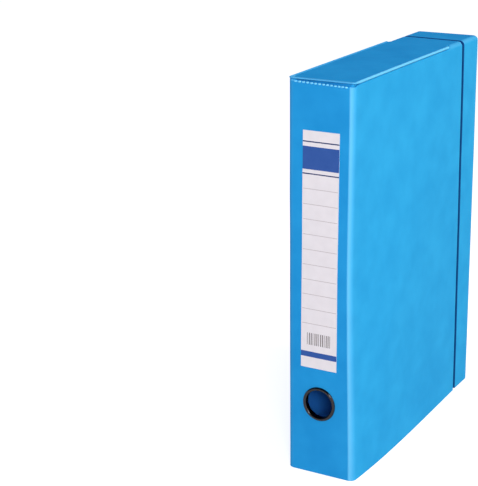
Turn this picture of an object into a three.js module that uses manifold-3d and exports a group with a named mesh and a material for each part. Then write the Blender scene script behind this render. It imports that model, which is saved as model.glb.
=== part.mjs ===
// Archive storage box: a film-covered board file whose end cap swings open on a film hinge.
// Millimetres, +Z up. The origin is at the centre of the base, the spine faces -Y, the lid is at +Y.
import * as THREE from "three";
import { mergeVertices } from "three/addons/utils/BufferGeometryUtils.js";
import Module from "manifold-3d";

// Overall size
const boxHeight = 320;
const boxDepth = 240; // outer face of the spine to the outer face of the lid's rear panel
const boxWidth = 58.6;

// Film-covered board
const boardThickness = 2.2;
const spineFoldRadius = 5; // outer radius of the two vertical folds of the spine
const lidFoldRadius = 4.6; // outer radius of the vertical folds of the lid
const softFoldRadius = 4; // outer radius of the fold over the top, at the mouth and round the lid

// End panels, and the seam that joins them to the spine and the sides
const ribRise = 0.5; // how far the seam rib stands above the top panel
const ribOverhang = 0.5; // how far the seam rib stands out from the sides and the spine
const ribWidth = 2.7;
const seamGroove = 0.6; // open line between the rib and the top edge of a side
const spineCrevice = 2.6; // wider open line between the rib and the hem of the spine
const softFoldLength = 30; // stretch before the mouth where a side folds over with no rib
const flapThickness = 1.2; // edge of an end panel, turned in behind the spine and the sides
const flapDepth = 12;

// Lid
const lidDepth = 31.5;
const lidGap = 4; // open line between the body and the lid, on the top and both sides
const lidFloorClearance = 0.5;
const hingeFilmThickness = 0.6;

// Finger ring, a rolled metal eyelet
const ringHeight = 61; // centre above the base
const ringOuterRadius = 14.25;
const ringBoreRadius = 11;
const ringWall = 0.6;
const ringProud = 1.5;
const ringBackRadius = 13.6;
const ringBackThickness = 0.8;
const ringClearance = 0.2;

// Paper label on the spine
const labelWidth = 31.7;
const labelHeight = 190.4;
const labelBottom = 90.6;
const labelThickness = 0.25;

// Two pieces that meet along a fold or an edge keep this much between them
const seatGap = 0.3;

// Facets
const smallestFold = 0.5; // a fold tighter than this is a plain corner
const foldSegments = 6;
const ringSegments = 48;

// The ring stands proud of the spine, and the origin is halfway between its rim and the rear panel.
const spineY = ringProud - (boxDepth + ringProud) / 2;
const rearY = spineY + boxDepth;
const lidFrontY = rearY - lidDepth;
const mouthY = lidFrontY - lidGap;
const softFoldY = mouthY - softFoldLength;
const topSurfaceZ = boxHeight - ribRise;

// An upright fold is a little rounder than the fold over the top that runs across its end.
const spineFold = Math.max(spineFoldRadius, softFoldRadius + smallestFold);
const lidFold = Math.max(lidFoldRadius, softFoldRadius + smallestFold);

const farAway = 2 * (boxHeight + boxDepth); // a cutter's reach, well past the box on every side

const film = new THREE.MeshStandardMaterial({ color: 0x2f9fd8, roughness: 0.38, metalness: 0 });
const hingeFilm = new THREE.MeshStandardMaterial({ color: 0x2287c2, roughness: 0.42, metalness: 0 });
const chrome = new THREE.MeshStandardMaterial({ color: 0xdfe3e6, roughness: 0.12, metalness: 1 });
const paper = new THREE.MeshStandardMaterial({ color: 0xe8e3eb, roughness: 0.7, metalness: 0 });

const wasm = await Module();
wasm.setup();

// A closed three.js geometry as a solid that can be joined and cut.
function solid(geometry) {
  const bare = geometry.clone();
  bare.deleteAttribute("normal");
  bare.deleteAttribute("uv");
  const merged = mergeVertices(bare, 1e-4);
  return new wasm.Manifold(
    new wasm.Mesh({
      numProp: 3,
      vertProperties: merged.attributes.position.array,
      triVerts: new Uint32Array(merged.index.array),
    }),
  );
}

function meshOf(name, form, material) {
  const data = form.getMesh();
  const geometry = new THREE.BufferGeometry();
  geometry.setAttribute("position", new THREE.BufferAttribute(data.vertProperties, 3));
  geometry.setIndex(new THREE.BufferAttribute(data.triVerts, 1));
  geometry.computeVertexNormals();
  const mesh = new THREE.Mesh(geometry, material);
  mesh.name = name;
  return mesh;
}

function block(xLow, xHigh, yLow, yHigh, zLow, zHigh) {
  const geometry = new THREE.BoxGeometry(xHigh - xLow, yHigh - yLow, zHigh - zLow);
  geometry.translate((xLow + xHigh) / 2, (yLow + yHigh) / 2, (zLow + zHigh) / 2);
  return solid(geometry);
}

// Everything between two places along Y.
function slab(yLow, yHigh) {
  return block(-farAway, farAway, yLow, yHigh, -farAway, farAway);
}

// Everything above a height.
function above(z) {
  return block(-farAway, farAway, -farAway, farAway, z, farAway);
}

// The plan of the box, moved in by an inset, with its four upright folds as arcs.
function boxPlan(inset, frontRadius, rearRadius) {
  const half = boxWidth / 2 - inset;
  const front = spineY + inset;
  const rear = rearY - inset;
  const corners = [
    { x: half, y: front, radius: frontRadius - inset, toCentre: [-1, 1] },
    { x: half, y: rear, radius: rearRadius - inset, toCentre: [-1, -1] },
    { x: -half, y: rear, radius: rearRadius - inset, toCentre: [1, -1] },
    { x: -half, y: front, radius: frontRadius - inset, toCentre: [1, 1] },
  ];
  const plan = new THREE.Shape();
  corners.forEach(({ x, y, radius, toCentre }, i) => {
    if (radius < smallestFold) {
      if (i === 0) plan.moveTo(x, y);
      else plan.lineTo(x, y);
      return;
    }
    const startAngle = ((i - 1) * Math.PI) / 2;
    const centreX = x + toCentre[0] * radius;
    const centreY = y + toCentre[1] * radius;
    plan.absarc(centreX, centreY, radius, startAngle, startAngle + Math.PI / 2, false);
  });
  plan.closePath();
  return plan;
}

// A plan raised between two heights.
function prism(plan, zLow, zHigh) {
  const geometry = new THREE.ExtrudeGeometry(plan, {
    depth: zHigh - zLow,
    bevelEnabled: false,
    curveSegments: foldSegments,
  });
  geometry.translate(0, 0, zLow);
  return solid(geometry);
}

// A plan raised between two heights, with a round edge at its top, and at its foot too if asked.
function softPrism(plan, zLow, zHigh, radius, softFoot = false) {
  const foot = softFoot ? zLow + radius : zLow - radius;
  const geometry = new THREE.ExtrudeGeometry(plan, {
    depth: zHigh - radius - foot,
    bevelEnabled: true,
    bevelThickness: radius,
    bevelSize: radius,
    bevelOffset: -radius,
    bevelSegments: foldSegments,
    curveSegments: foldSegments,
  });
  geometry.translate(0, 0, foot);
  const form = solid(geometry);
  return softFoot ? form : form.intersect(above(zLow));
}

// Board bent round the upright folds and over the top, open below and inside the upper folds.
function foldedBoard(zLow) {
  const outside = softPrism(
    boxPlan(0, spineFold, lidFold),
    zLow,
    topSurfaceZ,
    softFoldRadius,
  );
  const inside = softPrism(
    boxPlan(boardThickness, spineFold, lidFold),
    -farAway,
    topSurfaceZ - boardThickness,
    softFoldRadius - boardThickness,
  );
  const roof = prism(
    boxPlan(softFoldRadius, spineFold, lidFold),
    boxHeight / 2,
    farAway,
  );
  return outside.subtract(inside).subtract(roof);
}

// The spine and the two sides, one board folded twice, with the finger hole in the spine.
function makeBodyWrap() {
  const beforeSoftFold = slab(-farAway, softFoldY);
  const hemZ = topSurfaceZ - boardThickness - seamGroove;
  const aboveHem = above(hemZ).intersect(beforeSoftFold);
  const straightInside = prism(
    boxPlan(boardThickness, spineFold, lidFold),
    -farAway,
    farAway,
  ).intersect(beforeSoftFold);

  const hemHalf = boxWidth / 2 - spineFold;
  const hemBack = spineY + boardThickness + seatGap;
  const spineHemZ = topSurfaceZ - boardThickness - spineCrevice;
  const aboveSpineHem = block(-hemHalf, hemHalf, -farAway, hemBack, spineHemZ, farAway);

  const holeRadius = ringBoreRadius + ringWall + ringClearance;
  const holeCutter = new THREE.CylinderGeometry(holeRadius, holeRadius, boxDepth, ringSegments);
  holeCutter.translate(0, spineY, 0);
  holeCutter.translate(0, 0, ringHeight);

  const form = foldedBoard(0)
    .subtract(slab(mouthY, farAway))
    .subtract(aboveHem)
    .subtract(straightInside)
    .subtract(aboveSpineHem)
    .subtract(solid(holeCutter));
  return meshOf("body_wrap", form, film);
}

// The top end: a bead along the seam, and edges turned in behind the spine and the sides. The last
// stretch before the mouth lies between the two soft folds. Its outer surface is at z = 0.
function makeBodyTopPanel() {
  const beadRadius = (boardThickness + ribRise) / 2;
  const beaded = boxPlan(-ribOverhang, spineFold, lidFold);
  const plate = softPrism(beaded, -boardThickness, ribRise, beadRadius, true);
  const bed = prism(boxPlan(ribWidth - ribOverhang, spineFold, lidFold), 0, farAway);
  const behindRib = slab(softFoldY - seatGap, farAway);
  const tongue = prism(
    boxPlan(softFoldRadius + seatGap, spineFold, lidFold),
    -boardThickness,
    0,
  ).subtract(slab(mouthY, farAway));

  const flapInset = boardThickness + seatGap;
  const flaps = prism(boxPlan(flapInset, spineFold, lidFold), -boardThickness - flapDepth, 0)
    .subtract(prism(boxPlan(flapInset + flapThickness, spineFold, lidFold), -farAway, farAway))
    .subtract(behindRib);
  const form = plate.subtract(bed).subtract(behindRib).add(tongue).add(flaps);
  const mesh = meshOf("body_top_panel", form, film);
  mesh.position.z = topSurfaceZ;
  return mesh;
}

// The base: a tray that stands inside the spine and the sides, with its edges turned up.
function makeBodyBottomPanel() {
  const trayInset = boardThickness + seatGap;
  const hollowInset = trayInset + flapThickness;
  const outside = boxPlan(trayInset, spineFold, lidFold);
  const hollow = boxPlan(hollowInset, spineFold, lidFold);
  const form = prism(outside, 0, boardThickness + flapDepth)
    .subtract(prism(hollow, boardThickness, farAway))
    .subtract(slab(mouthY, farAway));
  return meshOf("body_bottom_panel", form, film);
}

// The rear panel and the two flanges of the lid, with the soft folds of its rim.
function makeLidWrap() {
  const form = foldedBoard(lidFloorClearance).subtract(slab(-farAway, lidFrontY));
  return meshOf("lid_wrap", form, film);
}

// A short end flap of the lid. The top one lies between the soft folds, the bottom one between
// the flanges.
function makeLidFlap(name, inset, zLow) {
  const plan = boxPlan(inset, spineFold, lidFold);
  const form = prism(plan, zLow, zLow + boardThickness).subtract(slab(-farAway, lidFrontY));
  return meshOf(name, form, film);
}

// The film that bridges the gap on the left and lets the lid swing.
function makeHingeFilm() {
  const left = -boxWidth / 2;
  const yLow = mouthY + seatGap;
  const yHigh = lidFrontY - seatGap;
  const zHigh = topSurfaceZ - softFoldRadius;
  const form = block(left, left + hingeFilmThickness, yLow, yHigh, lidFloorClearance, zHigh);
  return meshOf("hinge_film", form, hingeFilm);
}

// A rolled rim outside, a barrel through the board and a flat flange behind it, turned round Y.
function makeFingerRing() {
  const rimCentre = (ringOuterRadius + ringBoreRadius) / 2;
  const rimHalf = (ringOuterRadius - ringBoreRadius) / 2;
  const barrel = ringBoreRadius + ringWall;
  const backFace = boardThickness + seatGap;
  const section = new THREE.Path();
  section.moveTo(ringBoreRadius, -backFace - ringBackThickness);
  section.lineTo(ringBackRadius, -backFace - ringBackThickness);
  section.lineTo(ringBackRadius, -backFace);
  section.lineTo(barrel, -backFace);
  section.lineTo(barrel, 0);
  section.lineTo(ringOuterRadius, 0);
  section.absellipse(rimCentre, 0, rimHalf, ringProud, 0, Math.PI, false, 0);
  section.lineTo(ringBoreRadius, -backFace - ringBackThickness);
  const points = section.getPoints(foldSegments);
  const mesh = meshOf("finger_ring", solid(new THREE.LatheGeometry(points, ringSegments)), chrome);
  mesh.rotation.x = Math.PI;
  mesh.position.set(0, spineY, ringHeight);
  return mesh;
}

function makeSpineLabel() {
  const half = labelWidth / 2;
  const front = spineY - labelThickness;
  const form = block(-half, half, front, spineY, labelBottom, labelBottom + labelHeight);
  return meshOf("spine_label", form, paper);
}

const body = new THREE.Group();
body.add(makeBodyWrap(), makeBodyTopPanel(), makeBodyBottomPanel());
body.add(makeFingerRing(), makeSpineLabel());

const lid = new THREE.Group();
lid.add(
  makeLidWrap(),
  makeLidFlap("lid_top_flap", softFoldRadius + seatGap, topSurfaceZ - boardThickness),
  makeLidFlap("lid_bottom_flap", boardThickness + seatGap, lidFloorClearance),
);

const box = new THREE.Group();
box.add(body, lid, makeHingeFilm());

export default box;
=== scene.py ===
import math
from collections import namedtuple

import bmesh
import bpy
from mathutils import Matrix, Vector, noise


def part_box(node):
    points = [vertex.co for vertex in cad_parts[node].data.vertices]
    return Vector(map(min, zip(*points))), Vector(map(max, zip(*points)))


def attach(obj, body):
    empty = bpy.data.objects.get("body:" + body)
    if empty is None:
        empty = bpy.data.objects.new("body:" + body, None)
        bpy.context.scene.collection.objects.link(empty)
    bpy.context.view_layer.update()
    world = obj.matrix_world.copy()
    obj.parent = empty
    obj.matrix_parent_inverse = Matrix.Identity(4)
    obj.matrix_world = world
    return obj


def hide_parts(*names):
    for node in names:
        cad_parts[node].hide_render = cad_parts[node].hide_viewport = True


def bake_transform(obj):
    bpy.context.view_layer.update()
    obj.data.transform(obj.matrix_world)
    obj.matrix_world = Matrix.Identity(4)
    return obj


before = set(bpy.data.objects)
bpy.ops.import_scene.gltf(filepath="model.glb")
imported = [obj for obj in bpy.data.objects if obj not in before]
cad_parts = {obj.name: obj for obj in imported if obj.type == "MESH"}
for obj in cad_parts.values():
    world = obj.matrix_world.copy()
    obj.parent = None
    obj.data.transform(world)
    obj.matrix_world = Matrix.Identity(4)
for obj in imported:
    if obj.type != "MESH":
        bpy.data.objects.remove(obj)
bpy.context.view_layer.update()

MM = 0.001

# Places taken from the frame
body_low, body_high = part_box("body_wrap")
_, panel_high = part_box("body_top_panel")
lid_low, lid_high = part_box("lid_wrap")
label_low, label_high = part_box("spine_label")
ring_low, ring_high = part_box("finger_ring")
web_low, web_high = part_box("hinge_film")

HALF = body_high.x            # half the width of the box
SPINE_Y = body_low.y
MOUTH_Y = body_high.y
LID_Y = lid_low.y
REAR_Y = lid_high.y
LID_FOOT_Z = lid_low.z
TOP_Z = body_high.z           # surface of the top, between the seam beads
RIB_Z = panel_high.z          # crest of the seam bead

# Film-covered board
BOARD = 2.2 * MM
SPINE_FOLD = 5 * MM           # outer radius of the upright folds of the spine
LID_FOLD = 4.6 * MM           # outer radius of the upright folds of the lid
SOFT_FOLD = 4 * MM            # outer radius of the fold over the top
SOFT_LENGTH = 30 * MM         # stretch before the mouth where the sides fold over the top
HEM_TIP = 1 * MM              # the last stretch of a wall below its hem
SOFT_EASE = 5 * MM            # length over which a hem turns into that fold
SOFT_Y = MOUTH_Y - SOFT_LENGTH
TURN_IN = 1.2 * MM            # thickness of an end panel's edge, turned in behind the walls
TURN_IN_DEPTH = 12 * MM
TURN_IN_GAP = 0.3 * MM        # between the inner face of a wall and a turned edge
TURN_IN_INSET = BOARD + TURN_IN_GAP
EDGE_SETBACK = 0.6 * MM       # a turned edge keeps this far from the face of the top and the base

# Seam along the top edge
BEAD_SIDE = 1.05 * MM         # radius of the bead along the sides
BEAD_FRONT = 0.5 * MM         # radius of the bead along the spine
BEAD_PROUD = 0.4 * MM         # how far the bead stands out from the sides
BEAD_EASE = 1.5 * SPINE_FOLD  # length over which it grows from the one radius to the other
BEAD_FROM, BEAD_TURN = 0.25, 1.5      # in half turns: the start of its section, and how far round it goes
HEM_SIDE_DROP = 2.5 * MM      # from the bead's crest down to the top of a side
HEM_LEFT_DROP = 2.2 * MM      # from the bead's crest down to the spine's hem, at its left end
HEM_RIGHT_DROP = 3.8 * MM     # and at its right end
BEAD_CORNER = 2 * MM          # plan radius of the bead's corner on the right
CREVICE_FROM = -22.5 * MM     # the crevice under the bead opens this far to the left
CORNER_DROP = 0.9 * MM        # drop of the hem at the closed left corner
CORNER_EASE = 2 * MM          # and closes over this stretch
LIP = 0.5 * MM                # thickness of the film that joins the bead to the board of the top
LIP_REACH = 5 * MM            # how far that film runs in from the spine
LIP_GAP = 0.1 * MM            # it stays this far below the top, and from the middle of a corner
RIGHT_BEAD, FRONT_BEAD, LEFT_BEAD = 1.0, 0.7, 0.25      # how pale the bead is: stretched film with painted highlight, most along the lit right side
PLATE_INSET = 1.3 * MM        # the top's board ends this far behind the face of the sides
PLATE_FRONT = 4 * MM          # and this far behind the face of the spine

# Stitches along the spine's upper hem
STITCHES = 14
STITCH_FIRST_X = -22.2 * MM
STITCH_LAST_X = 21.4 * MM
STITCH_LENGTH = 2.8 * MM
STITCH_RADIUS = 0.68 * MM
STITCH_BELOW_HEM = 0.4 * MM
STITCH_STEPS, STITCH_SIDES = 8, 10
STITCH_SINK = 0.25            # both in radii: how deep its ends lie in the film
STITCH_RISE = 0.6             # and how far its middle rises from them
STITCH_BLUNT = 4              # how blunt its ends are

# Mesh steps
WALL_STEP = 7 * MM
LINE_POINTS = 50              # along a wall's height
FOLD_POINTS = 10              # of those, round the fold over the top
ARC_STEPS = 12
CAP_STEPS = 6
BOARD_STEPS = 12              # across a level board
SOFT_STEP = 1 * MM            # along the top where its board gives way to the soft folds
WELD = 0.002 * MM             # points closer than this become one
SHARP = math.radians(35)      # edges that turn by more than this are sharp
SUPPORT = 0.6 * MM            # a row of points this close to a rim keeps the flat beside it flat
FOOT_ROUND = 0.25             # how round a wall's foot is, where 1 is a half circle
RIM = 0.35 * MM               # rounding of the rims at the mouth
RING_STEPS = 96

# How pale the film is where it is stretched, with painted highlight on its folds and beads
FOLD_PEAK = 0.26              # angle in radians at which a fold's film is palest
SOFT_LIGHT = 0.35             # how pale the folds over the top are: stretched film with painted highlight
LEFT_FOLD = 0.15              # how pale the left folds are beside the right ones: the right ones carry more painted highlight, on the lit side

Station = namedtuple("Station", "x y nx ny fold swell")


# Unevenness of the covered board: one field for every piece, so that edges still meet

SQUEEZE_TOP = 0.35 * MM       # the box is a little narrower at the top
BULGE_FOOT = 2.1 * MM         # and a little fuller low down, along its right side
BOW_SHIFT = 0.7               # below 1, that fullness is greatest nearer the spine than the mouth
LEFT_SHARE = 0.15             # of that fullness on its left side
PINCH_FOOT = 0.5 * MM         # the right fold of the spine is drawn in: hardly at its foot
PINCH_TOP = 2.7 * MM          # more at its top
PINCH_MIDDLE = 2.3 * MM       # and by this much again halfway up
PINCH_REACH_FOOT = 60 * MM    # distance behind the spine at which the side is straight again
PINCH_REACH_TOP = 250 * MM
LEAN_TOP = -2.9 * MM          # the gap on the right leans: forwards at the top
LEAN_FOOT = 1.5 * MM          # and back at the foot
LEAN_AHEAD = 60 * MM          # that lean dies out over this stretch ahead of the gap
LEAN_BEHIND = 24 * MM         # and over this one behind it
WAVE = 0.13 * MM              # height of the board's slight waves
WAVE_LENGTH = 45 * MM
WAVE_SEED = 5                 # without it Blender's vector noise differs from run to run
CALM = 20 * MM                # the waves fade this close to the foot and the top
CALM_TOP = 0.3                # share of them that is left at the top

noise.seed_set(WAVE_SEED)


def settle(co):
    """Where a point of the straight box ends up on the uneven one."""
    height = min(1.0, max(0.0, co.z / TOP_Z))
    back = max(0.0, co.y - SPINE_Y)
    bow = math.sin(math.pi * min(1.0, back / (MOUTH_Y - SPINE_Y)) ** BOW_SHIFT)
    fullness = BULGE_FOOT * (1 if co.x > 0 else LEFT_SHARE)
    out = fullness * bow * (1 - height) ** 2 - SQUEEZE_TOP * height ** 2
    right = max(0.0, co.x / HALF)
    pinch = PINCH_FOOT + (PINCH_TOP - PINCH_FOOT) * height
    pinch += PINCH_MIDDLE * math.sin(math.pi * height) ** 2
    reach = PINCH_REACH_FOOT + (PINCH_REACH_TOP - PINCH_REACH_FOOT) * height ** 2
    pinch *= right ** 2 * ease(1 - back / reach)
    lean = (LEAN_FOOT + (LEAN_TOP - LEAN_FOOT) * height) * ease((co.x / HALF + 1) / 2)
    lean *= ease(1 - (MOUTH_Y - co.y) / LEAN_AHEAD) * ease(1 - (co.y - LID_Y) / LEAN_BEHIND)
    wave = noise.noise_vector(co / WAVE_LENGTH) * WAVE
    wave *= min(1.0, co.z / CALM, max(CALM_TOP, (TOP_Z - co.z) / CALM))
    shift = Vector((co.x * out / HALF - pinch, lean, 0))
    return co + shift + wave


def ease(t):
    t = min(1.0, max(0.0, t))
    return t * t * (3 - 2 * t)


def mesh_object(name, verts, faces, fold=None, smooth=True, slots=None):
    """A welded, closed mesh, settled like the rest of the box.

    fold is a number for each point, kept as an attribute, and slots is the material of each face."""
    mesh = bpy.data.meshes.new(name)
    mesh.from_pydata([tuple(v) for v in verts], [], faces)
    if slots:
        mesh.polygons.foreach_set("material_index", slots)
    if fold is not None:
        layer = mesh.attributes.new("fold", "FLOAT", "POINT")
        layer.data.foreach_set("value", fold)
    work = bmesh.new()
    work.from_mesh(mesh)
    bmesh.ops.remove_doubles(work, verts=work.verts, dist=WELD)
    bmesh.ops.recalc_face_normals(work, faces=work.faces)
    for vert in work.verts:
        vert.co = settle(vert.co)
    for face in work.faces:
        face.smooth = smooth
    work.to_mesh(mesh)
    work.free()
    mesh.set_sharp_from_angle(angle=SHARP)
    piece = bpy.data.objects.new(name, mesh)
    bpy.context.scene.collection.objects.link(piece)
    return piece


# Sections, and sweeps of them

def spaced(start, end, step=WALL_STEP):
    count = max(1, round(abs(end - start) / step))
    return [start + (end - start) * i / count for i in range(count + 1)]


def supported(start, end, step=WALL_STEP, both=False):
    """Evenly spaced places, with one more close to the end, and to the start if both is set."""
    side = math.copysign(SUPPORT, end - start)
    places = spaced(start, end, step)
    places.insert(-1, end - side)
    if both:
        places.insert(1, start + side)
    return places


def thick_loop(centre, half, bulge=1.0, foot=1.0):
    """Closed loop at a distance half from a line of (u, z) points.

    Its last end is round if bulge is 1, and its first if foot is 1."""
    points = [Vector(p) for p in centre]
    normals = []
    for i in range(len(points)):
        along = points[min(i + 1, len(points) - 1)] - points[max(i - 1, 0)]
        along.normalize()
        normals.append(Vector((-along.y, along.x)))
    caps = []
    for i, sign, roundness in ((-1, 1, bulge), (0, -1, foot)):
        normal = normals[i] * sign
        along = Vector((normal.y, -normal.x))
        angles = [math.pi * k / CAP_STEPS for k in range(1, CAP_STEPS)]
        caps.append([
            points[i] + half * (math.cos(a) * normal + roundness * math.sin(a) * along) for a in angles
        ])
    outer = [p + n * half for p, n in zip(points, normals)]
    inner = [p - n * half for p, n in zip(points, normals)]
    return outer + caps[0] + inner[::-1] + caps[1]


def skin(loops):
    """Points, and faces between neighbouring loops of equal length."""
    count = len(loops[0])
    faces = []
    for i in range(len(loops) - 1):
        for j in range(count):
            k = (j + 1) % count
            faces.append((i * count + j, (i + 1) * count + j, (i + 1) * count + k, i * count + k))
    return [p for loop in loops for p in loop], faces


def fold_light(angle):
    """How pale the film is round an upright fold, from stretching and painted highlight: most just after
    it leaves the flat.
    """
    share = angle / FOLD_PEAK
    return share * math.exp(1 - share)


def u_stations(closed, mouth, radius, rim, turned=False):
    """Stations along a U seen from above, closed at y = closed and open at y = mouth.

    The last stretch of a length rim thins out to nothing. Turned round, the U opens towards -Y."""
    turn = -1 if turned else 1
    closed, mouth = closed * turn, mouth * turn
    right = [Station(x, closed, 0, -1, 0, 1) for x in spaced(0, HALF - radius)[:-1]]
    for i in range(ARC_STEPS + 1):
        angle = math.pi / 2 * i / ARC_STEPS
        nx, ny = math.sin(angle), -math.cos(angle)
        x = HALF - radius + radius * nx
        right.append(Station(x, closed + radius + radius * ny, nx, ny, fold_light(angle), 1))
    right += [Station(HALF, y, 1, 0, 0, 1) for y in supported(closed + radius, mouth - rim)[1:]]
    for k in range(1, CAP_STEPS + 1):
        angle = math.pi / 2 * k / CAP_STEPS
        right.append(Station(HALF, mouth - rim + rim * math.sin(angle), 1, 0, 0, math.cos(angle)))
    left = [s._replace(x=-s.x, nx=-s.nx) for s in right[:0:-1]]
    return [
        s._replace(x=s.x * turn, y=s.y * turn, nx=s.nx * turn, ny=s.ny * turn) for s in left + right
    ]


def place(station, loop):
    """A section put at its station: u runs inwards from the outer face."""
    return [Vector((station.x - station.nx * p.x, station.y - station.ny * p.x, p.y)) for p in loop]


def hem_line(low, high, half=BOARD / 2, inset=0.0, foot=1.0):
    """Centreline of a straight wall between its foot and its hem, for a wall 2 half thick."""
    low, high = low + half * foot, high - half
    bend = high - HEM_TIP
    heights = straight_heights(low, bend)
    heights += [bend + HEM_TIP * i / FOLD_POINTS for i in range(1, FOLD_POINTS + 1)]
    return [(inset + half, z) for z in heights]


def straight_heights(low, high):
    """Heights of a wall's points up to the bend, the second of them close to the foot."""
    count = LINE_POINTS - FOLD_POINTS - 1
    heights = [low + (high - low) * i / (count - 1) for i in range(count)]
    heights.insert(1, low + SUPPORT)
    return heights


def folded_line(low, high):
    """Centreline of a wall that folds over the top."""
    half = BOARD / 2
    low, bend = low + half * FOOT_ROUND, high - SOFT_FOLD
    line = [(half, z) for z in straight_heights(low, bend)]
    radius = SOFT_FOLD - half
    for i in range(1, FOLD_POINTS + 1):
        angle = math.pi / 2 * i / FOLD_POINTS
        line.append((SOFT_FOLD - radius * math.cos(angle), bend + radius * math.sin(angle)))
    return line


def fold_shares(loop, upright, over):
    """How pale the film is at each point of a section, at an upright fold and over the top, from
    stretching and painted highlight.
    """
    result = []
    for j in range(len(loop)):
        k = j if j < LINE_POINTS else len(loop) - 1 - j
        turned = min(1.0, max(0.0, (k - LINE_POINTS + FOLD_POINTS) / FOLD_POINTS))
        result.append(max(upright, over * math.sin(math.pi * turned)))
    return result


def wall_slots(loops):
    """Material of each face of a wall: 0 outside, 1 for the lining, painted in the film's deep-shade
    colour, and 2 for the rims at the mouth, painted as the shade of the gap.
    """
    last, inner = len(loops) - 1, range(LINE_POINTS + CAP_STEPS - 1, len(loops[0]) - CAP_STEPS)
    return [
        2 if i < CAP_STEPS or i >= last - CAP_STEPS else int(j in inner)
        for i in range(last) for j in range(len(loops[0]))
    ]


def hem_drop(x, y):
    """How far the top of the body's wall lies below the bead's crest."""
    share = (x + HALF) / (2 * HALF)
    spine = HEM_LEFT_DROP + (HEM_RIGHT_DROP - HEM_LEFT_DROP) * share
    spine += (CORNER_DROP - spine) * closed_corner(x)
    return spine + (HEM_SIDE_DROP - spine) * ease((y - SPINE_Y - SPINE_FOLD / 2) / SPINE_FOLD)


def closed_corner(x):
    """1 at the left corner, where the film runs from the top to the spine without a crevice."""
    return ease((CREVICE_FROM - x) / CORNER_EASE)


def make_body_cover():
    """The spine and the two sides, one covered board folded twice, with the finger hole."""
    soft = folded_line(0, TOP_Z)
    loops, fold = [], []
    for station in u_stations(SPINE_Y, MOUTH_Y, SPINE_FOLD, RIM):
        hem = hem_line(0, RIB_Z - hem_drop(station.x, station.y), foot=FOOT_ROUND)
        share = ease((station.y - SOFT_Y) / SOFT_EASE)
        line = [(a[0] + (b[0] - a[0]) * share, a[1] + (b[1] - a[1]) * share) for a, b in zip(hem, soft)]
        loop = thick_loop(line, BOARD / 2 * station.swell, 1 - share, FOOT_ROUND)
        loops.append(place(station, loop))
        # Painted highlight: the right folds, on the lit side, are paler than the left, and the closed
        # left corner of the bead is pale too
        upright = station.fold * (1 if station.x > 0 else LEFT_FOLD)
        front = 1 - ease((station.y - SPINE_Y) / SPINE_FOLD)
        fold += fold_shares(loop, upright, max(SOFT_LIGHT * share, closed_corner(station.x) * front))
    verts, faces = skin(loops)
    cover = mesh_object("body_cover", verts, faces, fold, slots=wall_slots(loops))
    cut_finger_hole(cover)
    return cover


def cut_finger_hole(cover):
    """Cuts the hole for the ring's barrel through the spine, by a Boolean whose result is kept."""
    ring_middle = (ring_low + ring_high) / 2
    work = bmesh.new()
    spin = Matrix.Rotation(math.pi / 2, 4, "X")
    spot = Matrix.Translation((ring_middle.x + RING_SHIFT, SPINE_Y, ring_middle.z))
    radius = RING_BARREL + HOLE_ROOM
    bmesh.ops.create_cone(
        work, cap_ends=True, segments=RING_STEPS, radius1=radius, radius2=radius, depth=HOLE_CUT,
        matrix=spot @ spin,
    )
    mesh = bpy.data.meshes.new("finger_hole_cutter")
    work.to_mesh(mesh)
    work.free()
    cutter = bpy.data.objects.new("finger_hole_cutter", mesh)
    bpy.context.scene.collection.objects.link(cutter)
    cut = cover.modifiers.new("finger_hole", "BOOLEAN")
    cut.operation = "DIFFERENCE"
    cut.solver = "EXACT"
    cut.object = cutter
    bpy.context.view_layer.update()
    holed = bpy.data.meshes.new_from_object(cover.evaluated_get(bpy.context.evaluated_depsgraph_get()))
    holed.set_sharp_from_angle(angle=SHARP)
    cover.modifiers.clear()
    cover.data = holed
    bpy.data.objects.remove(cutter)


def make_lid_cover():
    """The rear panel and the two flanges of the lid."""
    line = folded_line(LID_FOOT_Z, TOP_Z)
    loops, fold = [], []
    for station in u_stations(REAR_Y, LID_Y, LID_FOLD, RIM, turned=True):
        loop = thick_loop(line, BOARD / 2 * station.swell, 0, FOOT_ROUND)
        loops.append(place(station, loop))
        # Painted highlight: the right folds, on the lit side, are paler than the left
        upright = station.fold * (1 if station.x > 0 else LEFT_FOLD)
        fold += fold_shares(loop, upright, SOFT_LIGHT)
    verts, faces = skin(loops)
    return mesh_object("lid_cover", verts, faces, fold, slots=wall_slots(loops))


def board_loops(stations, z_high):
    """Sections of a level board: stations are (y, half width, bulge of the edges, swell)."""
    half = BOARD / 2
    loops = []
    for y, half_width, bulge, swell in stations:
        edge = half_width - half * bulge
        across = supported(-edge, edge, 2 * edge / BOARD_STEPS, both=True)
        loop = thick_loop([(x, z_high - half) for x in across], half * swell, bulge)
        loops.append([Vector((p.x, y, p.y)) for p in loop])
    return loops


def filled_skin(loops):
    """Points and faces of a sweep whose two ends are filled."""
    verts, faces = skin(loops)
    count = len(loops[0])
    faces.append(tuple(range(count)))
    faces.append(tuple(range(len(verts) - count, len(verts))))
    return verts, faces


def board_object(name, stations, z_high, rim_first=False):
    """A level board whose rim at the mouth has its second material, painted as the shade of the gap."""
    loops = board_loops(stations, z_high)
    verts, faces = filled_skin(loops)
    last = len(loops) - 1
    rim = range(CAP_STEPS) if rim_first else range(last - CAP_STEPS, last)
    slots = [int(i in rim) for i in range(last) for _ in loops[0]]
    slots += [int(rim_first), int(not rim_first)]
    return mesh_object(name, verts, faces, slots=slots)


def rim_ys(inner, direction):
    """Places and swells of the rounded rim of a board that ends at a mouth."""
    angles = [math.pi / 2 * k / CAP_STEPS for k in range(1, CAP_STEPS + 1)]
    return [(inner + direction * RIM * math.sin(a), math.cos(a)) for a in angles]


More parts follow.
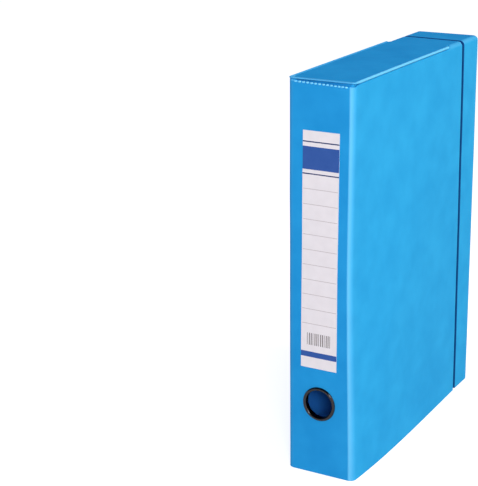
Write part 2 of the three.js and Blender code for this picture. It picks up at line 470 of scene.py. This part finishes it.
def make_body_top():
    """The board of the top: it fills the frame of beads, then the space between the soft folds."""
    wide, narrow = HALF - PLATE_INSET, HALF - SOFT_FOLD
    front = SPINE_Y + PLATE_FRONT
    stations = [(y, wide, 1, 1) for y in spaced(front, SOFT_Y)]
    for y in spaced(SOFT_Y, SOFT_Y + SOFT_EASE, SOFT_STEP)[1:]:
        share = ease((y - SOFT_Y) / SOFT_EASE)
        stations.append((y, wide + (narrow - wide) * share, 1 - share, 1))
    inner = MOUTH_Y - RIM
    for y in supported(SOFT_Y + SOFT_EASE, inner)[1:]:
        stations.append((y, narrow, 0, 1))
    stations += [(y, narrow, 0, swell) for y, swell in rim_ys(inner, 1)]
    return board_object("body_top", stations, TOP_Z)


def make_seam_bead():
    """The bead round the top edge, thin along the spine and fuller along the sides.

    A lip of film joins it to the board of the top."""
    rounded = u_stations(SPINE_Y, SOFT_Y + BEAD_SIDE, SPINE_FOLD, BEAD_SIDE * 2)
    tight = u_stations(SPINE_Y, SOFT_Y + BEAD_SIDE, BEAD_CORNER, BEAD_SIDE * 2)
    stations = rounded[:len(rounded) // 2] + tight[len(tight) // 2:]
    loops, fold = [], []
    for station in stations:
        share = ease((station.y - SPINE_Y) / BEAD_EASE)
        radius = BEAD_FRONT + (BEAD_SIDE - BEAD_FRONT) * share
        middle = Vector((radius - BEAD_PROUD, RIB_Z - radius))
        swell = radius * station.swell
        turns = [BEAD_FROM + BEAD_TURN * k / (2 * CAP_STEPS) for k in range(2 * CAP_STEPS + 1)]
        loop = [middle + swell * Vector((math.cos(math.pi * t), math.sin(math.pi * t))) for t in turns]
        if station.nx == 0:
            reach = LIP_REACH
        elif station.x < 0 and station.ny < 0:
            reach = SPINE_FOLD - LIP_GAP
        else:
            reach = BEAD_CORNER - LIP_GAP
        high = TOP_Z - LIP_GAP
        loop += [Vector((reach, high - LIP * station.swell)), Vector((reach, high))]
        loops.append(place(station, loop))
        # Painted highlight: the bead is palest along the lit right side
        pale = RIGHT_BEAD if station.x > 0 and station.ny == 0 else FRONT_BEAD
        fold += [LEFT_BEAD if station.x < 0 and station.ny == 0 else pale] * len(loop)
    verts, faces = skin(loops)
    return mesh_object("seam_bead", verts, faces, fold)


def make_turned_edge(name, mouth, low, high):
    """Edge of an end panel, turned in behind the spine and the sides."""
    loops = []
    for station in u_stations(SPINE_Y, mouth, SPINE_FOLD, TURN_IN / 2):
        line = hem_line(low, high, TURN_IN / 2, TURN_IN_INSET)
        loops.append(place(station, thick_loop(line, TURN_IN / 2 * station.swell)))
    return mesh_object(name, *skin(loops))


def make_body_base():
    """The board of the base, between the sides."""
    inset = TURN_IN_INSET
    half, corner = HALF - inset, SPINE_FOLD - inset
    front, inner = SPINE_Y + inset, MOUTH_Y - RIM
    stations = []
    for i in range(ARC_STEPS + 1):
        angle = math.pi / 2 * i / ARC_STEPS
        width = half - corner + corner * math.sin(angle)
        stations.append((front + corner * (1 - math.cos(angle)), width, 1, 1))
    stations += [(y, half, 1, 1) for y in supported(front + corner, inner)[1:]]
    stations += [(y, half, 1, swell) for y, swell in rim_ys(inner, 1)]
    return board_object("body_base", stations, BOARD)


def make_lid_board(name, inset, corner, z_high, bulge):
    """A short end board of the lid, between its flanges."""
    half, rear = HALF - inset, REAR_Y - inset
    inner = LID_Y + RIM
    stations = [(y, half, bulge, swell) for y, swell in rim_ys(inner, -1)][::-1]
    stations += [(y, half, bulge, 1) for y in supported(inner, rear - corner, both=True)]
    for i in range(1, ARC_STEPS + 1):
        angle = math.pi / 2 * i / ARC_STEPS
        width = half - corner + corner * math.cos(angle)
        stations.append((rear - corner + corner * math.sin(angle), width, bulge, 1))
    return board_object(name, stations, z_high, rim_first=True)


WEB_SEAT = 2 * MM             # how far the hinge film runs into the board on each side
WEB_STEPS = 16
WEB_DIP = 0.25 * MM           # how deep its middle is dished
WEB_INSET = 0.05 * MM         # how far its face lies behind the face of the sides


def make_hinge_web():
    """The film that bridges the gap on the left, dished slightly inwards."""
    loops = []
    middle = (MOUTH_Y + LID_Y) / 2
    reach = (LID_Y - MOUTH_Y) / 2 + WEB_SEAT
    thick = web_high.x - web_low.x
    for z in spaced(web_low.z, web_high.z):
        line = []
        for i in range(WEB_STEPS + 1):
            t = 2 * i / WEB_STEPS - 1
            dip = WEB_DIP * max(0.0, 1 - (t * reach / (reach - WEB_SEAT)) ** 2)
            line.append((middle + t * reach, -HALF + thick / 2 + WEB_INSET + dip))
        loop = thick_loop(line, thick / 2)
        loops.append([Vector((p.y, p.x, z)) for p in loop])
    return mesh_object("hinge_web", *filled_skin(loops))


# Finger ring: a rolled metal eyelet

RING_SHIFT = -1.2 * MM        # the ring sits a little left of the spine's middle
RING_BARREL = 11.9 * MM       # outer radius of the barrel
RING_BORE = 11.5 * MM         # and its inner radius
RING_RIM = 14.2 * MM          # outer radius of the rolled rim
RING_LIP = 0.35 * MM          # the rim curls under by this much before it meets the film
RING_PROUD = SPINE_Y - ring_low.y
RIM_STEPS, RIM_UNDER = 12, 2          # over the half circle of the rim, and further on each side of it
RING_BACK = 13.6 * MM         # outer radius of the flange behind the board
RING_FLANGE = 0.5 * MM        # its thickness
RING_CURL = 0.4 * MM          # half the width of the clenched curl at the barrel's back end
RING_CURL_DEPTH = 0.3 * MM
CURL_STEPS = 6
HOLE_ROOM = 0.3 * MM          # between the barrel and the edge of the hole
HOLE_CUT = 20 * MM            # length of the cutter, half of it behind the spine's face


def make_finger_ring():
    """The eyelet turned round its own axis: rolled rim, barrel and clenched back flange."""
    front, back = -TURN_IN_INSET, -TURN_IN_INSET - RING_FLANGE
    profile = []
    middle, half = (RING_RIM + RING_BORE) / 2, (RING_RIM - RING_BORE) / 2
    for k in range(-RIM_UNDER, RIM_STEPS + RIM_UNDER + 1):
        angle = math.pi * k / RIM_STEPS
        rise = RING_LIP + (RING_PROUD - RING_LIP) * math.sin(angle)
        profile.append((middle + half * math.cos(angle), rise))
    profile += [(RING_BORE, 0), (RING_BORE, back)]
    for k in range(CURL_STEPS + 1):
        angle = math.pi * k / CURL_STEPS
        radius = RING_BORE + RING_CURL - RING_CURL * math.cos(angle)
        profile.append((radius, back - RING_CURL_DEPTH * math.sin(angle)))
    profile += [(RING_BACK, back), (RING_BACK, front), (RING_BARREL, front), (RING_BARREL, 0)]
    centre = (ring_low + ring_high) / 2 + Vector((RING_SHIFT, 0, 0))
    loops = []
    for i in range(RING_STEPS + 1):
        angle = 2 * math.pi * i / RING_STEPS
        loops.append([
            Vector((centre.x + r * math.cos(angle), SPINE_Y - out, centre.z + r * math.sin(angle)))
            for r, out in profile
        ])
    return mesh_object("finger_eyelet", *skin(loops))


# Stitches

def stitch_loops(middle, length, radius):
    """One stitch: a short thread that rises from the film and dips back into it."""
    loops = []
    for i in range(STITCH_STEPS + 1):
        t = 2 * i / STITCH_STEPS - 1
        swell = radius * math.sqrt(max(0.0, 1 - t ** STITCH_BLUNT))
        sink = STITCH_SINK * radius - radius * STITCH_RISE * (1 - t * t)
        at = middle + Vector((t * length / 2, sink, 0))
        angles = [2 * math.pi * k / STITCH_SIDES for k in range(STITCH_SIDES)]
        loops.append([at + swell * Vector((0, math.cos(a), math.sin(a))) for a in angles])
    return loops


def make_stitches():
    """A row of stitches along the upper hem of the spine."""
    verts, faces = [], []
    step = (STITCH_LAST_X - STITCH_FIRST_X) / (STITCHES - 1)
    for i in range(STITCHES):
        x = STITCH_FIRST_X + i * step
        z = RIB_Z - hem_drop(x, SPINE_Y) - STITCH_BELOW_HEM
        points, quads = skin(stitch_loops(Vector((x, SPINE_Y, z)), STITCH_LENGTH, STITCH_RADIUS))
        faces += [tuple(len(verts) + k for k in quad) for quad in quads]
        verts += points
    return mesh_object("hem_stitches", verts, faces)


# Label: printed fields are faces of their own, so that their edges stay sharp

LABEL_TOP = label_high.z
LABEL_LEAN = 0.5              # degrees by which its sides lean, with the foot to the left
RULES = 10
RULE_PITCH = 12.05 * MM
RULE_FIRST = LABEL_TOP - 45.1 * MM
RULE_WIDTH = 0.45 * MM
RULE_MARGIN = 0.8 * MM
BARS = 13
BARS_LOW = label_low.z + 19.2 * MM
BARS_HIGH = BARS_LOW + 10 * MM
BARS_LEFT = label_low.x + 5.2 * MM
BARS_PITCH = 1.65 * MM
BAR_THIN = 0.45 * MM          # width of the thinnest bar
BAR_MORE = 0.3 * MM           # and what each wider kind has more
BAR_KINDS = 3
# Printed bands: depth of the upper edge below the label's top, height, and ink
BANDS = [
    (8.0 * MM, 0.95 * MM, "navy_line"),
    (12.1 * MM, 17.8 * MM, "royal_band"),
    (32.8 * MM, 0.95 * MM, "navy_line"),
    (176.8 * MM, 4.6 * MM, "royal_band"),
]


def bar_edges():
    """Left and right edges of a plain pattern of bars whose widths come from a short formula."""
    edges = []
    for i in range(BARS):
        left = BARS_LEFT + i * BARS_PITCH
        edges.append((left, left + BAR_THIN + BAR_MORE * (i * i % BAR_KINDS)))
    return edges


def make_label():
    """The paper sheet with its bands, rules and bars."""
    fields = [(LABEL_TOP - depth - height, LABEL_TOP - depth, ink) for depth, height, ink in BANDS]
    for i in range(RULES):
        middle = RULE_FIRST - i * RULE_PITCH
        fields.append((middle - RULE_WIDTH / 2, middle + RULE_WIDTH / 2, "rule_line"))
    bars = bar_edges()
    margins = (label_low.x + RULE_MARGIN, label_high.x - RULE_MARGIN)
    xs = {label_low.x, label_high.x, *margins}.union(*bars)
    zs = {label_low.z, LABEL_TOP, BARS_LOW, BARS_HIGH}
    for low, high, _ in fields:
        zs |= {low, high}
    xs, zs = sorted(xs), sorted(zs)

    def ink_at(x, z):
        for low, high, ink in fields:
            if low < z < high and (ink != "rule_line" or margins[0] < x < margins[1]):
                return ink
        if BARS_LOW < z < BARS_HIGH and any(left < x < right for left, right in bars):
            return "bar_ink"
        return "label_paper"

    inks = ["label_paper", "royal_band", "navy_line", "rule_line", "bar_ink"]
    lean = math.sin(math.radians(LABEL_LEAN))
    verts = [
        (x - (LABEL_TOP - z) * lean, y, z)
        for y in (label_low.y, label_high.y) for z in zs for x in xs
    ]
    wide, layer = len(xs), len(xs) * len(zs)
    faces, slots = [], []
    for i in range(len(zs) - 1):
        for j in range(wide - 1):
            a = i * wide + j
            face = (a, a + 1, a + wide + 1, a + wide)
            ink = ink_at((xs[j] + xs[j + 1]) / 2, (zs[i] + zs[i + 1]) / 2)
            faces += [face, tuple(layer + k for k in face[::-1])]
            slots += [inks.index(ink), 0]
    border = list(range(wide))
    border += [i * wide + wide - 1 for i in range(1, len(zs))]
    border += [layer - 1 - j for j in range(1, wide)]
    border += [i * wide for i in range(len(zs) - 2, 0, -1)]
    for a, b in zip(border, border[1:] + border[:1]):
        faces.append((a, layer + a, layer + b, b))
        slots.append(0)
    label = mesh_object("label_sheet", verts, faces, smooth=False)
    for ink in inks:
        label.data.materials.append(MATERIALS[ink])
    label.data.polygons.foreach_set("material_index", slots)
    return label


# Materials

# Sockets of the Mix node when it mixes colours: the two that go in, and the result
MIX_FIRST, MIX_SECOND, MIX_RESULT = 6, 7, 2


def new_material(name):
    material = bpy.data.materials.new(name)
    material.use_nodes = True
    nodes = material.node_tree.nodes
    return material, nodes, material.node_tree.links, nodes["Principled BSDF"]


def set_sockets(node, values):
    for name, value in values.items():
        node.inputs[name].default_value = value


def noise_node(nodes, links, size, detail=2.0, roughness=0.5):
    """Noise in the part's own frame, with features of about the given size in metres."""
    where = nodes.new("ShaderNodeTexCoord")
    texture = nodes.new("ShaderNodeTexNoise")
    set_sockets(texture, {"Scale": 1 / size, "Detail": detail, "Roughness": roughness})
    links.new(where.outputs["Object"], texture.inputs["Vector"])
    return texture.outputs["Fac"]


def map_range(nodes, links, source, low, high, from_low=0.3, from_high=0.7):
    """The source's range, by default the usual spread of a noise, stretched to low and high."""
    node = nodes.new("ShaderNodeMapRange")
    set_sockets(node, {"From Min": from_low, "From Max": from_high, "To Min": low, "To Max": high})
    links.new(source, node.inputs["Value"])
    return node.outputs["Result"]


def mix_colour(nodes, links, share, first, second):
    """A mix of two colours or colour sockets."""
    node = nodes.new("ShaderNodeMix")
    node.data_type = "RGBA"
    links.new(share, node.inputs["Factor"])
    for socket, value in ((node.inputs[MIX_FIRST], first), (node.inputs[MIX_SECOND], second)):
        if isinstance(value, tuple):
            socket.default_value = (*value, 1)
        else:
            links.new(value, socket)
    return node.outputs[MIX_RESULT]


def bump(nodes, links, height, distance, strength, before=None):
    node = nodes.new("ShaderNodeBump")
    set_sockets(node, {"Distance": distance, "Strength": strength})
    links.new(height, node.inputs["Height"])
    if before:
        links.new(before, node.inputs["Normal"])
    return node.outputs["Normal"]


# Colours, most of them with a second one that mottles them
FILM = (0.02, 0.325, 0.71)
FILM_DEEP = (0.015, 0.285, 0.655)
FILM_STRETCHED_AND_LIT = (0.16, 0.60, 0.95)   # where a fold stretches it, and painted highlight on folds and beads
PALE_AT = 0.65                # value of the fold attribute at which the film has that colour
# Painted shade: a bluer copy of the film, in the colour it takes in deep shade inside the box
LINING_SHADE_BLUE = (0.03, 0.27, 0.95)
LINING_SHADE_MOTTLED = (0.025, 0.25, 0.90)
# Painted shade: the dark of the gap at the mouth, on the rims that face it
GAP_SHADE = (0.003, 0.065, 0.25)
GAP_SHADE_MOTTLED = (0.004, 0.075, 0.26)
PAPER = (0.78, 0.775, 0.80)
PAPER_WORN = (0.74, 0.735, 0.76)
ROYAL = (0.022, 0.085, 0.33)
ROYAL_WORN = (0.028, 0.095, 0.35)
NAVY = (0.012, 0.03, 0.13)
NAVY_WORN = (0.016, 0.036, 0.15)
RULE_GREY = (0.45, 0.42, 0.44)
RULE_GREY_WORN = (0.50, 0.47, 0.49)
BAR_GREY = (0.10, 0.09, 0.09)
BAR_GREY_WORN = (0.14, 0.12, 0.12)
THREAD = (0.20, 0.70, 1.0)
THREAD_DEEP = (0.13, 0.58, 0.95)
# Painted reflection: the chrome is made dark to show the dark surroundings it reflects
RING_METAL = (0.035, 0.035, 0.04, 1)

# Sizes of the marks on each surface, and how far they raise it
MOTTLE = 22 * MM
GLOSS_PATCH = 9 * MM
FILM_GRAIN, FILM_GRAIN_RISE = 0.45 * MM, 0.03 * MM
FILM_RELIEF, FILM_RELIEF_RISE = 7 * MM, 0.05 * MM
SCUFF = 1.5 * MM
DENT, DENT_RISE = 4 * MM, 0.02 * MM
TWIST, TWIST_RISE, TWIST_ANGLE = 2.2 * MM, 0.08 * MM, math.radians(35)
FIBRE, FIBRE_RISE = 0.9 * MM, 0.012 * MM
INK_PATCH = 8 * MM
EDGE_GLOSS = 0.1


def make_film(name, light, deep, stretched_and_lit):
    """Satin film over board: fine grain, slight mottling, and a paler colour where it is stretched and
    where folds and beads carry painted highlight.
    """
    material, nodes, links, shader = new_material(name)
    mottle = map_range(nodes, links, noise_node(nodes, links, MOTTLE, 3), 0, 1)
    colour = mix_colour(nodes, links, mottle, deep, light)
    fold = nodes.new("ShaderNodeAttribute")
    fold.attribute_name = "fold"
    share = map_range(nodes, links, fold.outputs["Fac"], 0, PALE_AT, 0, 1)
    colour = mix_colour(nodes, links, share, colour, stretched_and_lit)
    links.new(colour, shader.inputs["Base Color"])
    uneven = noise_node(nodes, links, GLOSS_PATCH, 2)
    links.new(map_range(nodes, links, uneven, 0.46, 0.56), shader.inputs["Roughness"])
    set_sockets(shader, {
        "Specular IOR Level": 0.0,
        "Coat Weight": 0.05,
        "Coat Roughness": 0.3,
    })
    grain = noise_node(nodes, links, FILM_GRAIN, 2, 0.6)
    relief = bump(nodes, links, noise_node(nodes, links, FILM_RELIEF), FILM_RELIEF_RISE, 0.35)
    links.new(bump(nodes, links, grain, FILM_GRAIN_RISE, 0.5, relief), shader.inputs["Normal"])
    links.new(relief, shader.inputs["Coat Normal"])
    return material


def make_chrome():
    """Polished metal with fine scuffs, made dark as a painted reflection of dark surroundings."""
    material, nodes, links, shader = new_material("ring_chrome")
    set_sockets(shader, {"Base Color": RING_METAL, "Metallic": 1.0})
    scuffs = noise_node(nodes, links, SCUFF, 4, 0.6)
    links.new(map_range(nodes, links, scuffs, 0.08, 0.2), shader.inputs["Roughness"])
    dents = bump(nodes, links, noise_node(nodes, links, DENT), DENT_RISE, 0.3)
    links.new(dents, shader.inputs["Normal"])
    return material


def make_thread():
    """Twisted thread, a little paler than the film."""
    material, nodes, links, shader = new_material("stitch_thread")
    twist = nodes.new("ShaderNodeTexWave")
    where = nodes.new("ShaderNodeTexCoord")
    turn = nodes.new("ShaderNodeMapping")
    turn.inputs["Rotation"].default_value = (0, TWIST_ANGLE, 0)
    links.new(where.outputs["Object"], turn.inputs["Vector"])
    links.new(turn.outputs["Vector"], twist.inputs["Vector"])
    set_sockets(twist, {"Scale": 1 / TWIST, "Distortion": 0.4})
    colour = mix_colour(nodes, links, twist.outputs["Fac"], THREAD_DEEP, THREAD)
    links.new(colour, shader.inputs["Base Color"])
    links.new(bump(nodes, links, twist.outputs["Fac"], TWIST_RISE, 0.6), shader.inputs["Normal"])
    set_sockets(shader, {"Roughness": 0.6, "Specular IOR Level": 0.2, "Sheen Weight": 0.05})
    return material


def make_ink(name, colour, worn, gloss=0.25):
    """Printed or plain paper: faint fibres, and ink that lies a little unevenly."""
    material, nodes, links, shader = new_material(name)
    fibres = noise_node(nodes, links, FIBRE, 4, 0.7)
    patches = noise_node(nodes, links, INK_PATCH, 2)
    colour = mix_colour(nodes, links, map_range(nodes, links, patches, 0, 1), colour, worn)
    links.new(colour, shader.inputs["Base Color"])
    links.new(map_range(nodes, links, fibres, 0.55, 0.68), shader.inputs["Roughness"])
    links.new(bump(nodes, links, fibres, FIBRE_RISE, 0.5), shader.inputs["Normal"])
    set_sockets(shader, {"Specular IOR Level": gloss})
    return material


MATERIALS = {
    "film": make_film("cover_film", FILM, FILM_DEEP, FILM_STRETCHED_AND_LIT),
    # The lining is painted shade: the film's colour in deep shade, inside the box
    "lining": make_ink("lining_shade_blue", LINING_SHADE_BLUE, LINING_SHADE_MOTTLED),
    # Painted shade of the gap at the mouth, on its rims
    "edge": make_ink("gap_shade_film", GAP_SHADE, GAP_SHADE_MOTTLED, EDGE_GLOSS),
    "chrome": make_chrome(),
    "thread": make_thread(),
    "label_paper": make_ink("label_paper", PAPER, PAPER_WORN),
    "royal_band": make_ink("royal_band", ROYAL, ROYAL_WORN),
    "navy_line": make_ink("navy_line", NAVY, NAVY_WORN),
    "rule_line": make_ink("rule_line", RULE_GREY, RULE_GREY_WORN),
    "bar_ink": make_ink("bar_ink", BAR_GREY, BAR_GREY_WORN),
}


# Stage

LOOK_AT = Vector((0, 0, 0.16))        # halfway up the box


def lamp(name, azimuth, elevation, distance, size, level, colour=(1, 1, 1)):
    """A square soft lamp. level is how much of a white surface's full brightness it gives head on."""
    data = bpy.data.lights.new(name, "AREA")
    data.shape = "SQUARE"
    data.size = size
    data.energy = level * math.pi ** 2 * distance ** 2
    data.color = colour
    light = bpy.data.objects.new(name, data)
    az, el = math.radians(azimuth), math.radians(elevation)
    towards = Vector((math.sin(az) * math.cos(el), -math.cos(az) * math.cos(el), math.sin(el)))
    light.location = LOOK_AT + towards * distance
    light.rotation_euler = towards.to_track_quat("Z", "Y").to_euler()
    bpy.context.scene.collection.objects.link(light)


WORLD_LEVEL = 0.52            # the studio's light on the part, where 1 is the white that the camera sees
WORLD_TINT = (0.94, 0.98, 1.17)
FLOOR_ALBEDO = 0.6
FLOOR_GLOW = 1 - FLOOR_ALBEDO * WORLD_LEVEL       # what the lit floor lacks to read as white
FLOOR_REACH = 6.0
CEILING = 0.95                # how much darker than the horizon the studio's ceiling is, to gloss
CEILING_FROM, CEILING_TO = 0.05, 0.22             # where it darkens, as the sine of a ray's elevation


def math_node(nodes, links, operation, first, second):
    node = nodes.new("ShaderNodeMath")
    node.operation = operation
    for socket, value in zip(node.inputs, (first, second)):
        if isinstance(value, (int, float)):
            socket.default_value = value
        else:
            links.new(value, socket)
    return node.outputs[0]


def seen_share(nodes, links):
    """1 for the rays that show the background: those of the camera, of gloss and of glass.

    The second result is 1 for gloss alone."""
    path = nodes.new("ShaderNodeLightPath")
    glossy = path.outputs["Is Glossy Ray"]
    seen = math_node(nodes, links, "MAXIMUM", path.outputs["Is Camera Ray"], glossy)
    return math_node(nodes, links, "MAXIMUM", seen, path.outputs["Is Transmission Ray"]), glossy


def make_world():
    """A white studio. Gloss also shows its darker ceiling."""
    world = bpy.data.worlds.new("studio")
    bpy.context.scene.world = world
    world.use_nodes = True
    nodes, links = world.node_tree.nodes, world.node_tree.links
    background = nodes["Background"]
    seen, glossy = seen_share(nodes, links)
    links.new(mix_colour(nodes, links, seen, WORLD_TINT, (1.0, 1.0, 1.0)), background.inputs["Color"])
    level = map_range(nodes, links, seen, WORLD_LEVEL, 1.0, 0, 1)
    where = nodes.new("ShaderNodeTexCoord")
    split = nodes.new("ShaderNodeSeparateXYZ")
    links.new(where.outputs["Generated"], split.inputs["Vector"])
    ceiling = map_range(nodes, links, split.outputs["Z"], 0, CEILING, CEILING_FROM, CEILING_TO)
    darker = math_node(nodes, links, "MULTIPLY", ceiling, glossy)
    kept = math_node(nodes, links, "SUBTRACT", 1.0, darker)
    strength = math_node(nodes, links, "MULTIPLY", level, kept)
    links.new(strength, background.inputs["Strength"])


def make_floor():
    """A pale floor that reads as white and keeps a soft shadow."""
    mesh = bpy.data.meshes.new("floor")
    corners = ((-1, -1), (1, -1), (1, 1), (-1, 1))
    mesh.from_pydata([(x * FLOOR_REACH, y * FLOOR_REACH, 0) for x, y in corners], [], [(0, 1, 2, 3)])
    floor = bpy.data.objects.new("floor", mesh)
    bpy.context.scene.collection.objects.link(floor)
    material = bpy.data.materials.new("pale_floor")
    material.use_nodes = True
    nodes, links = material.node_tree.nodes, material.node_tree.links
    nodes.remove(nodes["Principled BSDF"])
    diffuse = nodes.new("ShaderNodeBsdfDiffuse")
    diffuse.inputs["Color"].default_value = (FLOOR_ALBEDO, FLOOR_ALBEDO, FLOOR_ALBEDO, 1)
    glow = nodes.new("ShaderNodeEmission")
    seen, _ = seen_share(nodes, links)
    links.new(math_node(nodes, links, "MULTIPLY", seen, FLOOR_GLOW), glow.inputs["Strength"])
    both = nodes.new("ShaderNodeAddShader")
    links.new(diffuse.outputs[0], both.inputs[0])
    links.new(glow.outputs[0], both.inputs[1])
    links.new(both.outputs[0], nodes["Material Output"].inputs["Surface"])
    mesh.materials.append(material)


# The photograph's camera, placed from the middle of the spine's foot
CAMERA_SPOT = Vector((468.1, -912.1, 521.7)) * MM
CAMERA_AZIMUTH = 30.666       # degrees
CAMERA_ELEVATION = 17.684
CAMERA_ROLL = -0.812
FRAME_WIDTH, FRAME_HEIGHT = 478, 486
FOCAL_PIXELS = 1414.4
SENSOR_WIDTH = 36             # mm


def make_camera():
    az, el = math.radians(CAMERA_AZIMUTH), math.radians(CAMERA_ELEVATION)
    roll = Matrix.Rotation(math.radians(CAMERA_ROLL), 4, "Z")
    forward = Vector((-math.sin(az) * math.cos(el), math.cos(az) * math.cos(el), -math.sin(el)))
    right = Vector((math.cos(az), math.sin(az), 0))
    up = right.cross(forward)
    turn = Matrix((right, up, -forward)).transposed().to_4x4()
    data = bpy.data.cameras.new("camera")
    data.sensor_width = SENSOR_WIDTH
    data.lens = FOCAL_PIXELS / max(FRAME_WIDTH, FRAME_HEIGHT) * SENSOR_WIDTH
    camera = bpy.data.objects.new("camera", data)
    spot = CAMERA_SPOT + Vector((0, SPINE_Y, 0))
    camera.matrix_world = Matrix.Translation(spot) @ turn @ roll
    bpy.context.scene.collection.objects.link(camera)
    bpy.context.scene.camera = camera


def finish_piece(piece, body, material=None, node=None):
    """Gives a piece its materials, named with spaces between them, and ties it to the frame."""
    if material:
        faces = [p.material_index for p in piece.data.polygons]
        piece.data.materials.clear()
        for name in material.split():
            piece.data.materials.append(MATERIALS[name])
        piece.data.polygons.foreach_set("material_index", faces)
    if node:
        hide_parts(node)
    if body:
        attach(piece, body)


# The material named edge is painted shade of the gap, on the rims at the mouth, and lining is the film's
# deep-shade colour inside
finish_piece(make_body_cover(), "body", "film lining edge", "body_wrap")
finish_piece(make_body_top(), "body", "film edge", "body_top_panel")
finish_piece(make_seam_bead(), "body", "film")
high_edge = TOP_Z - EDGE_SETBACK
low_edge = high_edge - BOARD - TURN_IN_DEPTH
top_edge = make_turned_edge("top_turned_edge", SOFT_Y, low_edge, high_edge)
finish_piece(top_edge, "body", "film")
finish_piece(make_body_base(), "body", "film edge", "body_bottom_panel")
base_edge = make_turned_edge("base_turned_edge", MOUTH_Y, EDGE_SETBACK, BOARD + TURN_IN_DEPTH)
finish_piece(base_edge, "body", "lining")
finish_piece(make_lid_cover(), "lid", "film lining edge", "lid_wrap")
lid_top = make_lid_board("lid_top", SOFT_FOLD, LID_FOLD - SOFT_FOLD, TOP_Z, 0)
finish_piece(lid_top, "lid", "film edge", "lid_top_flap")
lid_base = make_lid_board("lid_base", TURN_IN_INSET, LID_FOLD - TURN_IN_INSET, LID_FOOT_Z + BOARD, 1)
finish_piece(lid_base, "lid", "film edge", "lid_bottom_flap")
finish_piece(make_finger_ring(), "body", "chrome", "finger_ring")
finish_piece(make_stitches(), "body", "thread")
finish_piece(make_label(), "body", None, "spine_label")
web = make_hinge_web()
finish_piece(web, None, "film", "hinge_film")
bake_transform(web)

make_camera()
make_world()
make_floor()
lamp("key", azimuth=85, elevation=20, distance=2.2, size=1.3, level=0.64, colour=(1.6, 1, 0.62))
lamp("fill", azimuth=29, elevation=21, distance=2.4, size=0.5, level=0.45)
bpy.context.scene.view_settings.view_transform = "Standard"
